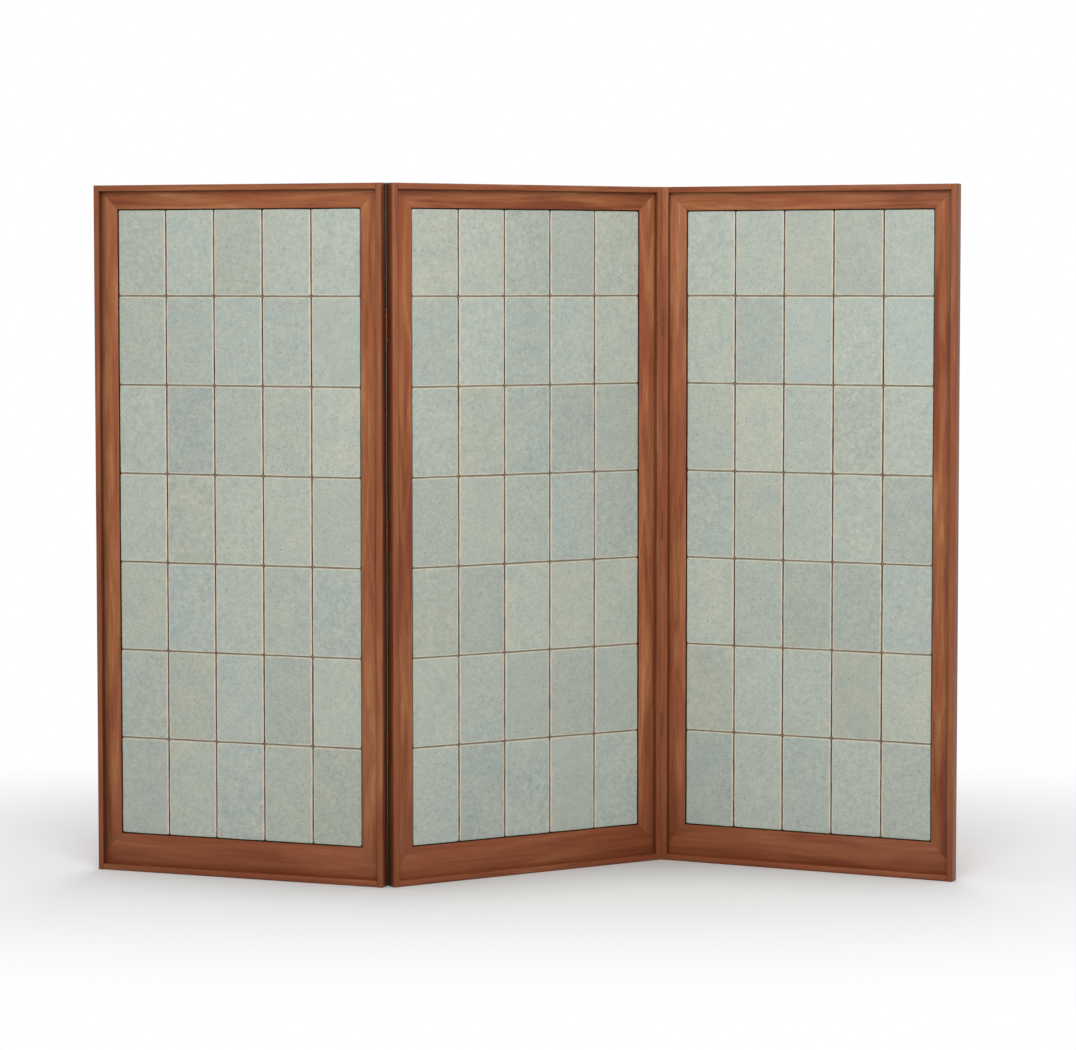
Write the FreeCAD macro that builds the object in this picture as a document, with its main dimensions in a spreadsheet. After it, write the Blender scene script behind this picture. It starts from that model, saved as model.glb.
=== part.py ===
# Tiled folding screen: three framed panels of ceramic tiles on let-in butt hinges, standing in a zigzag.
# Every piece of a panel is drawn in that panel's own frame: X along its width from the left edge,
# Y from the front of the raised lip to the back, Z up from the floor. The panel's placement then stands it.
import FreeCAD, Part

import math
import os
import re

import Sketcher
from FreeCAD import Placement, Rotation, Vector

# How many tiles, hinges, knuckles and panels there are, and how many flats stand for a screw's round
COLUMNS = 5
ROWS = 7
HINGES = 3
KNUCKLES = 3
SCREW_SIDES = 6
PANELS = ("left", "middle", "right")

# Driving dimensions in millimetres and degrees: cell name, value, meaning
SIZES = (
    ("tile_width", 125, "width of a tile"),
    ("tile_height", 215, "height of a tile in the middle rows"),
    ("top_tile_height", 208, "height of a tile in the top row, which is cut to fit"),
    ("bottom_tile_height", 236, "height of a tile in the bottom row"),
    ("tile_thickness", 8, "thickness of a tile"),
    ("tile_joint", 4, "width of a grout joint"),
    ("tile_ease", 1.4, "chamfer along the front edges of a tile"),
    ("field_gap", 3, "open shadow gap between the outer tiles and the frame"),
    ("grout_sink", 2, "depth of the grout behind the tile faces"),
    ("bed_thickness", 2, "thickness of the adhesive bed behind the tiles"),
    ("board_thickness", 6, "thickness of the backing board"),
    ("board_inset", 1, "depth of the board's back behind the back of the frame"),
    ("board_play", 0.5, "clearance round the board in its rebate"),
    ("rebate_width", 12, "how far the board reaches behind the frame"),
    ("lip_width", 15, "width of the raised edge strips"),
    ("lip_stand", 14, "how far the edge strips stand proud of the flat frame"),
    ("lip_ease", 2.5, "chamfer along the front edges of the strips"),
    ("flat_width", 44, "width of the flat stiles and the top rail"),
    ("bottom_flat", 77, "height of the flat bottom rail"),
    ("tile_sink", 2, "depth of the tile faces behind the flat frame"),
    ("spline_length", 34, "length of a loose tongue along its mitre"),
    ("spline_width", 20, "width of a loose tongue across its mitre"),
    ("spline_thickness", 4, "thickness of a loose tongue"),
    ("spline_set", 4, "depth of a loose tongue behind the flat face"),
    ("spline_play", 0.2, "clearance round a loose tongue in its slots"),
    ("hinge_height", 76, "height of a hinge leaf"),
    ("hinge_inset", 340, "height of the end hinges' centres from the panel's ends"),
    ("leaf_depth", 20, "reach of a leaf from the pin's centre"),
    ("leaf_thickness", 1.6, "thickness of a leaf, let in flush"),
    ("leaf_play", 0.2, "clearance round a leaf in its mortise"),
    ("edge_gap", 0.1, "gap between two panels' edges when they stand in line"),
    ("pin_stand", 0.05, "distance of the pin's centre outside the panel's face"),
    ("pin_radius", 1.2, "radius of a hinge pin"),
    ("pin_play", 0.05, "running clearance of a pin in its knuckles"),
    ("knuckle_radius", 2.4, "outer radius of the knuckles"),
    ("knuckle_gap", 0.3, "gap between neighbouring knuckles"),
    ("barrel_play", 0.4, "clearance of the knuckles to the wood and to the other leaf"),
    ("screw_radius", 1.3, "radius of a hinge screw's shank"),
    ("screw_head_radius", 2.6, "radius of a hinge screw's countersunk head"),
    ("screw_head_height", 1.4, "height of a hinge screw's countersunk head"),
    ("screw_length", 11, "length of a hinge screw"),
    ("screw_play", 0.1, "clearance round a hinge screw"),
    ("screw_reach", 12, "distance of the screws from the pin's centre"),
    ("screw_spread", 50, "distance between the two screws of a leaf"),
    ("left_panel_angle", -19.4, "turn of the left panel, in degrees from the screen's length"),
    ("middle_panel_angle", 30.4, "turn of the middle panel, in degrees"),
    ("right_panel_angle", -24.1, "turn of the right panel, in degrees"),
)
CELLS = {name: row for row, (name, value, meaning) in enumerate(SIZES, 1)}

# Sizes and places that follow from the driving dimensions
FORMULAS = {
    "field_width": f"{COLUMNS} * tile_width + {COLUMNS - 1} * tile_joint",
    "middle_rows": f"{ROWS - 2} * tile_height + {ROWS - 3} * tile_joint",
    "field_height": "bottom_tile_height + middle_rows + top_tile_height + 2 * tile_joint",
    "column_pitch": "tile_width + tile_joint",
    "row_pitch": "tile_height + tile_joint",
    "opening_left": "lip_width + flat_width",
    "opening_right": "opening_left + field_width + 2 * field_gap",
    "opening_bottom": "lip_width + bottom_flat",
    "opening_top": "opening_bottom + field_height + 2 * field_gap",
    "field_left": "opening_left + field_gap",
    "field_bottom": "opening_bottom + field_gap",
    "second_row": "field_bottom + bottom_tile_height + tile_joint",
    "top_row": "second_row + middle_rows + tile_joint",
    "panel_width": "opening_right + flat_width + lip_width",
    "panel_height": "opening_top + flat_width + lip_width",
    "mitre_foot": "opening_bottom - flat_width",
    "tile_face": "lip_stand + tile_sink",
    "tile_back": "tile_face + tile_thickness",
    "board_front": "tile_back + bed_thickness",
    "board_back": "board_front + board_thickness",
    "panel_depth": "board_back + board_inset",
    "frame_depth": "panel_depth - lip_stand",
    "half_hinge": "hinge_height / 2",
    "half_knuckle": f"hinge_height / {2 * KNUCKLES}",
    "hinge_step": f"(panel_height - 2 * hinge_inset) / {HINGES - 1}",
    "relief_radius": "knuckle_radius + barrel_play",
    "relief_half": "half_hinge + barrel_play",
}

# The two hinged joints: the face that the pins lie on, and the panel edges that meet there
JOINTS = {
    "back": (("left", "right"), ("middle", "left")),
    "front": (("middle", "right"), ("right", "left")),
}
PIN_SIDE = {edge: face for face, edges in JOINTS.items() for edge in edges}

WORD = re.compile(r"[a-z]\w*")
NORMAL_SIGN = {"XY_Plane": 1, "XZ_Plane": -1, "YZ_Plane": 1}
# How far apart two places may lie and still count as one
FLAT = 1e-6

document = FreeCAD.newDocument("folding_screen")
sheet = document.addObject("Spreadsheet::Sheet", "Sizes")
for name, value, meaning in SIZES:
    sheet.set(f"A{CELLS[name]}", meaning)
    sheet.set(f"B{CELLS[name]}", str(value))
    sheet.setAlias(f"B{CELLS[name]}", name)
document.recompute()


def spell(text):
    """A formula written out in the sheet's own cells."""
    def swap(match):
        word = match.group()
        if word in CELLS:
            return f"Sizes.{word}"
        if word in FORMULAS:
            return f"({spell(FORMULAS[word])})"
        return word
    return WORD.sub(swap, text)


def size(text):
    """The number that a formula gives."""
    return float(sheet.evalExpression(spell(text)))


def bind(thing, **formulas):
    """Ties properties of an object to formulas; two underscores stand for a point in a property's path."""
    for path, text in formulas.items():
        thing.setExpression(path.replace("__", "."), spell(str(text)))


# Drawing helpers: bodies, sketches and features
def new_body(label):
    body = document.addObject("PartDesign::Body", label)
    body.Label = label
    return body


def origin_feature(body, role):
    return next(item for item in body.Origin.OriginFeatures if item.Role == role)


def sketch_on(body, name, plane, at):
    """A sketch parallel to one of the body's planes, at a distance along that plane's axis."""
    sketch = body.newObject("Sketcher::SketchObject", name)
    sketch.AttachmentSupport = [(origin_feature(body, plane), "")]
    sketch.MapMode = "FlatFace"
    bind(sketch, AttachmentOffset__Base__z=f"{NORMAL_SIGN[plane]} * ({at})")
    return sketch


def hold(sketch, item, point, across, up):
    """Dimensions one point of a sketch from the sketch's origin."""
    for kind, text in (("DistanceX", across), ("DistanceY", up)):
        held = sketch.addConstraint(Sketcher.Constraint(kind, item, point, size(text)))
        sketch.setExpression(f"Constraints[{held}]", spell(text))


def outline(sketch, corners):
    """A closed straight-sided outline whose corners are pairs of formulas."""
    spots = [Vector(size(across), size(up), 0) for across, up in corners]
    first = sketch.GeometryCount
    for i, spot in enumerate(spots):
        sketch.addGeometry(Part.LineSegment(spot, spots[(i + 1) % len(spots)]))
    for i in range(len(spots)):
        after = first + (i + 1) % len(spots)
        sketch.addConstraint(Sketcher.Constraint("Coincident", first + i, 2, after, 1))
    for i, (across, up) in enumerate(corners):
        hold(sketch, first + i, 1, across, up)


def rectangle(sketch, left, low, right, high):
    outline(sketch, ((left, low), (right, low), (right, high), (left, high)))


def circle(sketch, across, up, radius):
    centre = Vector(size(across), size(up), 0)
    item = sketch.addGeometry(Part.Circle(centre, Vector(0, 0, 1), size(radius)))
    hold(sketch, item, 3, across, up)
    held = sketch.addConstraint(Sketcher.Constraint("Radius", item, size(radius)))
    sketch.setExpression(f"Constraints[{held}]", spell(radius))


def many_sided(sketch, across, up, radius):
    """A regular outline that stands for a small circle, with a corner at its top."""
    turns = [2 * math.pi * i / SCREW_SIDES for i in range(SCREW_SIDES)]
    corners = []
    for turn in turns:
        sideways = f"({radius}) * {math.sin(turn):.6f}"
        upwards = f"({radius}) * {math.cos(turn):.6f}"
        corners.append((f"{across} + {sideways}", f"{up} + {upwards}"))
    outline(sketch, corners)


def pad(body, name, sketch, length):
    """Extrudes a sketch along its normal: up, to the right, or towards the front."""
    feature = body.newObject("PartDesign::Pad", name)
    feature.Profile = sketch
    bind(feature, Length=length)
    document.recompute()
    return feature


def pocket(body, name, sketch, length, along_normal=False):
    """Cuts a sketch away against its normal, or along it, and makes sure that something was cut."""
    before = body.Shape.Volume
    feature = body.newObject("PartDesign::Pocket", name)
    feature.Profile = sketch
    feature.Reversed = along_normal
    bind(feature, Length=length)
    document.recompute()
    if not body.Shape.Volume < before:
        raise RuntimeError(f"{body.Label}: {name} cuts nothing")
    return feature


def repeat(body, name, feature, axis, length, count):
    """Repeats a feature evenly along an axis of the body."""
    pattern = body.newObject("PartDesign::LinearPattern", name)
    pattern.Originals = [feature]
    pattern.Direction = (origin_feature(body, axis), [""])
    pattern.Occurrences = count
    bind(pattern, Length=length)
    body.Tip = pattern
    document.recompute()
    return pattern


def front_edges(feature):
    """Names of a feature's edges that lie in the plane of its front face."""
    front = feature.Shape.BoundBox.YMin
    return [f"Edge{i}" for i, edge in enumerate(feature.Shape.Edges, 1) if edge.BoundBox.YMax < front + FLAT]


def dress(body, kind, name, feature, edges, **formulas):
    """A chamfer or fillet on named edges of a feature."""
    dressing = body.newObject(f"PartDesign::{kind}", name)
    dressing.Base = (feature, edges)
    bind(dressing, **formulas)
    document.recompute()
    return dressing


# Primitive helpers for the turned and stamped metal
def box(name, corner, sides):
    block = document.addObject("Part::Box", name)
    bind(block, Length=sides[0], Width=sides[1], Height=sides[2])
    bind(block, Placement__Base__x=corner[0], Placement__Base__y=corner[1], Placement__Base__z=corner[2])
    return block


def rod(name, radius, low, high):
    """An upright cylinder on the Z axis."""
    cylinder = document.addObject("Part::Cylinder", name)
    bind(cylinder, Radius=radius, Height=f"{high} - ({low})", Placement__Base__z=low)
    return cylinder


def taper(name, wide, narrow, low, high):
    """A many-sided taper on the Z axis, which stands for a small cone."""
    ends = []
    for radius, level in ((wide, low), (narrow, high)):
        end = document.addObject("Part::RegularPolygon", f"{name}_end")
        end.Polygon = SCREW_SIDES
        bind(end, Circumradius=radius, Placement__Base__z=level)
        ends.append(end)
    solid = document.addObject("Part::Loft", name)
    solid.Sections = ends
    solid.Solid = True
    solid.Ruled = True
    return solid


def place_link(link, spot):
    """Ties a linked copy's place to three formulas."""
    for axis, text in zip("xyz", spot):
        bind(link, **{f"LinkPlacement__Base__{axis}": text})


def lay_along_x(name, upright, corner):
    """A copy of an upright piece, laid along X from a corner."""
    laid = document.addObject("App::Link", name)
    laid.LinkedObject = upright
    laid.LinkPlacement = Placement(Vector(), Rotation(Vector(0, 1, 0), 90))
    place_link(laid, corner)
    return laid


def fuse(name, pieces):
    joined = document.addObject("Part::MultiFuse", name)
    joined.Shapes = pieces
    return joined


def cut(name, base, tools):
    carved = document.addObject("Part::Cut", name)
    carved.Base = base
    carved.Tool = tools[0] if len(tools) == 1 else fuse(f"{name}_tools", tools)
    return carved


def group(label, places):
    """One node of separate solids: copies of a pattern piece, each at its own place in the panel.

    A place is the pattern piece, its rotation and the formulas of its X, Y and Z.
    """
    copies = []
    for pattern_piece, rotation, spot in places:
        copy = document.addObject("App::Link", f"{label}_copy")
        copy.LinkedObject = pattern_piece
        copy.LinkTransform = True
        copy.LinkPlacement = Placement(Vector(), rotation)
        place_link(copy, spot)
        copies.append(copy)
    node = document.addObject("Part::Compound", label)
    node.Label = label
    node.Links = copies
    return node


# Raised edge strips
def side_strip(panel, side):
    """A full-height strip along one side of a panel, mortised where hinges are let in."""
    body = new_body(f"{panel}_panel_{side}_edge")
    left, right = {"left": ("0", "lip_width"), "right": ("panel_width - lip_width", "panel_width")}[side]
    section = sketch_on(body, "strip_section", "XY_Plane", "0")
    rectangle(section, left, "0", right, "panel_depth")
    strip = pad(body, "strip", section, "panel_height")
    face = PIN_SIDE.get((panel, side))
    edges = front_edges(strip)
    if face == "front":
        # The corner beside the pins stays square, so that the joint closes right up to the face
        middle = size(f"({left} + {right}) / 2")
        pins = size(pin_place(side, face)[0])
        edges = [name for name in edges
                 if (strip.Shape.getElement(name).CenterOfMass.x - middle) * (pins - middle) < FLAT]
    dress(body, "Chamfer", "eased_front", strip, edges, Size="lip_ease")
    if face:
        let_in_hinges(body, side, face)
    return body


def end_strip(panel, end):
    """A strip along the top or bottom of a panel, butted between the side strips."""
    body = new_body(f"{panel}_panel_{end}_edge")
    low, high = {"bottom": ("0", "lip_width"), "top": ("panel_height - lip_width", "panel_height")}[end]
    section = sketch_on(body, "strip_section", "YZ_Plane", "lip_width")
    rectangle(section, "0", low, "panel_depth", high)
    strip = pad(body, "strip", section, "panel_width - 2 * lip_width")
    length = size("panel_width - 2 * lip_width")
    edges = [name for name in front_edges(strip) if strip.Shape.getElement(name).Length > length / 2]
    dress(body, "Chamfer", "eased_front", strip, edges, Size="lip_ease")
    return body


def pin_place(side, face):
    """Where the pin's centre stands in a panel's plan, beyond one of its edges."""
    across = {"left": "(-edge_gap / 2)", "right": "(panel_width + edge_gap / 2)"}[side]
    deep = {"front": "(-pin_stand)", "back": "(panel_depth + pin_stand)"}[face]
    return across, deep


def hinge_levels():
    return [f"(hinge_inset + {i} * hinge_step)" for i in range(HINGES)]


def screw_levels(level):
    return [f"({level} {sign} screw_spread / 2)" for sign in "-+"]


def into_panel(face):
    """Sign of the way from the pins into the panel's thickness."""
    return {"front": "+", "back": "-"}[face]


def let_in_hinges(body, side, face):
    """Mortises for the leaves, pilot holes for their screws and a relief for the knuckles."""
    edge = {"left": "0", "right": "panel_width"}[side]
    inwards = side == "left"
    across, deep = pin_place(side, face)
    inner = f"{deep} {into_panel(face)} (leaf_depth + leaf_play)"
    mortises = sketch_on(body, "leaf_mortises", "YZ_Plane", edge)
    for level in hinge_levels():
        half = "(half_hinge + leaf_play)"
        low, high = sorted((deep, inner), key=size)
        rectangle(mortises, low, f"{level} - {half}", high, f"{level} + {half}")
    pocket(body, "mortise", mortises, "leaf_thickness", inwards)
    pilots = sketch_on(body, "screw_pilots", "YZ_Plane", edge)
    for level in hinge_levels():
        for height in screw_levels(level):
            many_sided(pilots, f"{deep} {into_panel(face)} screw_reach", height, "screw_radius + screw_play")
    pocket(body, "pilot", pilots, "screw_length + screw_play", inwards)
    barrel = sketch_on(body, "barrel_relief", "XY_Plane", "hinge_inset + relief_half")
    circle(barrel, across, deep, "relief_radius")
    relief = pocket(body, "relief", barrel, "2 * relief_half")
    repeat(body, "reliefs", relief, "Z_Axis", f"{HINGES - 1} * hinge_step", HINGES)


# Flat mitred frame inside the strips
FRAME_OUTLINES = {
    "left_stile": (
        ("lip_width", "mitre_foot"), ("opening_left", "opening_bottom"),
        ("opening_left", "opening_top"), ("lip_width", "opening_top + flat_width"),
    ),
    "right_stile": (
        ("opening_right + flat_width", "mitre_foot"), ("opening_right + flat_width", "opening_top + flat_width"),
        ("opening_right", "opening_top"), ("opening_right", "opening_bottom"),
    ),
    "top_rail": (
        ("opening_left", "opening_top"), ("opening_right", "opening_top"),
        ("opening_right + flat_width", "opening_top + flat_width"), ("lip_width", "opening_top + flat_width"),
    ),
    "bottom_rail": (
        ("lip_width", "lip_width"), ("opening_right + flat_width", "lip_width"),
        ("opening_right + flat_width", "mitre_foot"), ("opening_right", "opening_bottom"),
        ("opening_left", "opening_bottom"), ("lip_width", "mitre_foot"),
    ),
}

# Corners of the opening: place, and the way out along the mitre
MITRE_ANGLE = 45
MITRES = {
    "bottom_left": ("opening_left", "opening_bottom", "-", "-"),
    "bottom_right": ("opening_right", "opening_bottom", "+", "-"),
    "top_left": ("opening_left", "opening_top", "-", "+"),
    "top_right": ("opening_right", "opening_top", "+", "+"),
}
MITRE_ENDS = {
    "left_stile": ("bottom_left", "top_left"),
    "right_stile": ("bottom_right", "top_right"),
    "top_rail": ("top_left", "top_right"),
    "bottom_rail": ("bottom_left", "bottom_right"),
}


def mitre_centre(corner):
    across, up, outwards, upwards = MITRES[corner]
    return f"({across} {outwards} flat_width / 2)", f"({up} {upwards} flat_width / 2)"


def tongue_slot(sketch, corner):
    """The slot of a loose tongue, a rectangle turned to lie along its mitre."""
    across, up = mitre_centre(corner)
    outwards, upwards = MITRES[corner][2:]
    flip = {"+": "-", "-": "+"}
    along = "(spline_length / 2 + spline_play) / sqrt(2)"
    wide = "(spline_width / 2 + spline_play) / sqrt(2)"
    corners = []
    for end, side in (("+", "+"), ("+", "-"), ("-", "-"), ("-", "+")):
        far_x = outwards if end == "+" else flip[outwards]
        far_z = upwards if end == "+" else flip[upwards]
        wide_x = outwards if side == "+" else flip[outwards]
        wide_z = flip[upwards] if side == "+" else upwards
        corners.append((f"{across} {far_x} {along} {wide_x} {wide}", f"{up} {far_z} {along} {wide_z} {wide}"))
    outline(sketch, corners)


def frame_member(panel, member):
    """A stile or rail with mitred ends, a rebate for the board and slots for the loose tongues."""
    body = new_body(f"{panel}_panel_{member}")
    face = sketch_on(body, "member_outline", "XZ_Plane", "panel_depth")
    outline(face, FRAME_OUTLINES[member])
    pad(body, "member", face, "frame_depth")
    rebate = sketch_on(body, "board_rebate", "XZ_Plane", "board_front")
    rectangle(rebate, "opening_left - rebate_width", "opening_bottom - rebate_width",
              "opening_right + rebate_width", "opening_top + rebate_width")
    pocket(body, "rebate", rebate, "board_thickness + board_inset")
    slots = sketch_on(body, "tongue_slots", "XZ_Plane", "lip_stand + spline_set")
    for corner in MITRE_ENDS[member]:
        tongue_slot(slots, corner)
    pocket(body, "slots", slots, "spline_thickness + 2 * spline_play")
    return body


def loose_tongue():
    """Pattern piece of the tongues, centred on its mitre and lying along X."""
    return box("loose_tongue", ("-spline_length / 2", "spline_play", "-spline_width / 2"),
               ("spline_length", "spline_thickness", "spline_width"))


def mitre_tongues(panel, tongue):
    places = []
    for corner, (across, up, outwards, upwards) in MITRES.items():
        turn = Rotation(Vector(0, 1, 0), -MITRE_ANGLE if outwards == upwards else MITRE_ANGLE)
        middle, height = mitre_centre(corner)
        places.append((tongue, turn, (middle, "lip_stand + spline_set", height)))
    return group(f"{panel}_panel_mitre_tongues", places)


# Tiles and what carries them
def backing_board(panel):
    body = new_body(f"{panel}_panel_backing_board")
    face = sketch_on(body, "board_outline", "XZ_Plane", "board_back")
    reach = "(rebate_width - board_play)"
    rectangle(face, f"opening_left - {reach}", f"opening_bottom - {reach}",
              f"opening_right + {reach}", f"opening_top + {reach}")
    pad(body, "board", face, "board_thickness")
    return body


def tile_bed(panel):
    """Adhesive bed that fills the frame's opening, with grout ribs that stand between the tiles."""
    body = new_body(f"{panel}_panel_tile_bed")
    face = sketch_on(body, "bed_outline", "XZ_Plane", "board_front")
    rectangle(face, "opening_left", "opening_bottom", "opening_right", "opening_top")
    pad(body, "bed", face, "bed_thickness")
    rib_height = "tile_thickness - grout_sink"
    upright = sketch_on(body, "upright_joint", "XZ_Plane", "tile_back")
    rectangle(upright, "field_left + tile_width", "field_bottom",
              "field_left + column_pitch", "field_bottom + field_height")
    rib = pad(body, "upright_rib", upright, rib_height)
    repeat(body, "upright_ribs", rib, "X_Axis", f"{COLUMNS - 2} * column_pitch", COLUMNS - 1)
    level = sketch_on(body, "level_joint", "XZ_Plane", "tile_back")
    rectangle(level, "field_left", "second_row - tile_joint", "field_left + field_width", "second_row")
    rib = pad(body, "level_rib", level, rib_height)
    repeat(body, "level_ribs", rib, "Z_Axis", f"{ROWS - 2} * row_pitch", ROWS - 1)
    return body


def tile(name, height):
    """Pattern piece of the tiles, with its lower left front corner at the origin."""
    body = new_body(name)
    face = sketch_on(body, "tile_outline", "XZ_Plane", "tile_thickness")
    rectangle(face, "0", "0", "tile_width", height)
    slab = pad(body, "slab", face, "tile_thickness")
    dress(body, "Chamfer", "eased_edges", slab, front_edges(slab), Size="tile_ease")
    return body


def tile_column(panel, column, tiles):
    """One upright column of tiles, from the bottom row to the top row."""
    levels = [("bottom", "field_bottom")]
    levels += [("middle", f"second_row + {row} * row_pitch") for row in range(ROWS - 2)]
    levels += [("top", "top_row")]
    across = f"field_left + {column} * column_pitch"
    places = [(tiles[kind], Rotation(), (across, "tile_face", height)) for kind, height in levels]
    return group(f"{panel}_panel_tile_column_{column + 1}", places)


# Hinges
def leaf(name, own, other):
    """A stamped leaf with its knuckles round the Z axis, reaching along Y into the panel's thickness.

    own and other list the stretches of this leaf's knuckles and of its partner's, as pairs of formulas.
    """
    plate = box(f"{name}_plate", ("edge_gap / 2", "0", "-half_hinge"),
                ("leaf_thickness", "leaf_depth", "hinge_height"))
    notches = [rod(f"{name}_notch", "relief_radius", low, high) for low, high in other]
    notched = cut(f"{name}_notched", plate, notches)
    knuckles = [rod(f"{name}_knuckle", "knuckle_radius", low, high) for low, high in own]
    rolled = fuse(f"{name}_rolled", [notched, *knuckles])
    holes = [rod(f"{name}_bore", "pin_radius + pin_play", "-half_hinge", "half_hinge")]
    sink = taper(f"{name}_sink", "screw_head_radius + screw_play", "screw_radius + screw_play",
                 "0", "leaf_thickness")
    for height in screw_levels("0"):
        holes.append(lay_along_x(f"{name}_countersink", sink, ("edge_gap / 2", "screw_reach", height)))
    return cut(name, rolled, holes)


def outer_leaf():
    inner_end = "(half_knuckle + knuckle_gap / 2)"
    own = (("-half_hinge", f"-{inner_end}"), (inner_end, "half_hinge"))
    other = ((f"-{inner_end}", inner_end),)
    return leaf("outer_leaf", own, other)


def inner_leaf():
    outer_end = "(half_knuckle - knuckle_gap / 2)"
    own = ((f"-{outer_end}", outer_end),)
    other = (("-half_hinge", f"-{outer_end}"), (outer_end, "half_hinge"))
    return leaf("inner_leaf", own, other)


def hinge_pin():
    """Pattern piece of the pins, which end flush with the outer knuckles."""
    return rod("hinge_pin", "pin_radius", "-half_hinge", "half_hinge")


def hinge_screw():
    """Pattern piece of the screws, with its head's face at the origin and its point along X."""
    head = taper("screw_head", "screw_head_radius", "screw_radius", "0", "screw_head_height")
    shank = document.addObject("Part::Prism", "screw_shank")
    shank.Polygon = SCREW_SIDES
    bind(shank, Circumradius="screw_radius", Height="screw_length - screw_head_height")
    bind(shank, Placement__Base__z="screw_head_height")
    return lay_along_x("hinge_screw", fuse("upright_screw", [head, shank]), ("0", "0", "0"))


def leaf_turn(side, face):
    """Turns a leaf, which reaches along X into the width and along Y into the depth, to its panel edge."""
    across = 1 if side == "left" else -1
    deep = 1 if face == "front" else -1
    if across == deep:
        return Rotation(Vector(0, 0, 1), 0 if across == 1 else 180)
    return Rotation(Vector(0, 1, 0), 180) if across == -1 else Rotation(Vector(1, 0, 0), 180)


def hinge_leaves(label, side, face, pattern_piece):
    across, deep = pin_place(side, face)
    turn = leaf_turn(side, face)
    return group(label, [(pattern_piece, turn, (across, deep, level)) for level in hinge_levels()])


def hinge_pins(face, pin):
    """The pins of one joint, in the middle panel's frame."""
    side = next(side for panel, side in JOINTS[face] if panel == "middle")
    across, deep = pin_place(side, face)
    return group(f"{face}_hinge_pins", [(pin, Rotation(), (across, deep, level)) for level in hinge_levels()])


def hinge_screws(panel, screw):
    """All the hinge screws of one panel, at one edge or at both."""
    places = []
    for (owner, side), face in PIN_SIDE.items():
        if owner != panel:
            continue
        edge = {"left": "0", "right": "panel_width"}[side]
        turn = Rotation(Vector(0, 0, 1), 0 if side == "left" else 180)
        deep = f"{pin_place(side, face)[1]} {into_panel(face)} screw_reach"
        for level in hinge_levels():
            places += [(screw, turn, (edge, deep, height)) for height in screw_levels(level)]
    return group(f"{panel}_panel_hinge_screws", places)


# The whole screen
def build_panel(panel, tongue, tiles, screw):
    pieces = [side_strip(panel, side) for side in ("left", "right")]
    pieces += [end_strip(panel, end) for end in ("top", "bottom")]
    pieces += [frame_member(panel, member) for member in FRAME_OUTLINES]
    pieces += [mitre_tongues(panel, tongue), backing_board(panel), tile_bed(panel)]
    pieces += [tile_column(panel, column, tiles) for column in range(COLUMNS)]
    pieces += [hinge_screws(panel, screw)]
    return pieces


def build():
    """Makes every piece and returns them by the panel that carries them."""
    tongue = loose_tongue()
    tiles = {
        "bottom": tile("bottom_tile", "bottom_tile_height"),
        "middle": tile("middle_tile", "tile_height"),
        "top": tile("top_tile", "top_tile_height"),
    }
    screw = hinge_screw()
    pin = hinge_pin()
    outer = outer_leaf()
    inner = inner_leaf()
    carried = {panel: build_panel(panel, tongue, tiles, screw) for panel in PANELS}
    for face, edges in JOINTS.items():
        for panel, side in edges:
            pattern_piece = outer if panel == "middle" else inner
            carried[panel].append(hinge_leaves(f"{face}_hinge_{panel}_leaves", side, face, pattern_piece))
        carried["middle"].append(hinge_pins(face, pin))
    return carried


def stand(carried):
    """Turns the panels about their shared pins and centres the screen over the origin."""
    turns = {panel: Rotation(Vector(0, 0, 1), size(f"{panel}_panel_angle")) for panel in PANELS}
    spots = {"middle": Vector()}
    for face, edges in JOINTS.items():
        other, other_side = next(edge for edge in edges if edge[0] != "middle")
        middle_side = next(side for panel, side in edges if panel == "middle")
        pin = turns["middle"].multVec(Vector(*map(size, pin_place(middle_side, face)), 0))
        spots[other] = pin - turns[other].multVec(Vector(*map(size, pin_place(other_side, face)), 0))
    for panel, pieces in carried.items():
        for piece in pieces:
            piece.Placement = Placement(spots[panel], turns[panel])
    document.recompute()
    room = FreeCAD.BoundBox()
    for pieces in carried.values():
        for piece in pieces:
            room.add(piece.Shape.optimalBoundingBox(False))
    shift = Vector(-room.Center.x, -room.Center.y, -room.ZMin)
    for panel, pieces in carried.items():
        for piece in pieces:
            piece.Placement = Placement(spots[panel] + shift, turns[panel])
    document.recompute()


def check(pieces):
    """Stops the build if anything in the document failed or a piece isn't sound."""
    for thing in document.Objects:
        if "Invalid" in thing.State or "Error" in thing.State:
            raise RuntimeError(f"{thing.Label} failed: {thing.State}")
    for piece in pieces:
        if piece.Shape.isNull() or not piece.Shape.isValid() or not piece.Shape.Solids:
            raise RuntimeError(f"{piece.Label} isn't a sound solid")


def main():
    carried = build()
    stand(carried)
    pieces = [piece for on_panel in carried.values() for piece in on_panel]
    check(pieces)
    os.makedirs("parts", exist_ok=True)
    for piece in pieces:
        piece.Shape.exportStep(f"parts/{piece.Label}.step")
    print(len(pieces), "pieces,", sum(len(piece.Shape.Solids) for piece in pieces), "solids")
    print("panel", size("panel_width"), "x", size("panel_depth"), "x", size("panel_height"))


main()
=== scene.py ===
"""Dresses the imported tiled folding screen: wood, handmade tiles, grout, hinges and a studio."""

import math
import random
from contextlib import contextmanager

import bmesh
import bpy
from bpy.props import FloatProperty, FloatVectorProperty, IntProperty, PointerProperty
from mathutils import Matrix, Vector, noise


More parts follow.
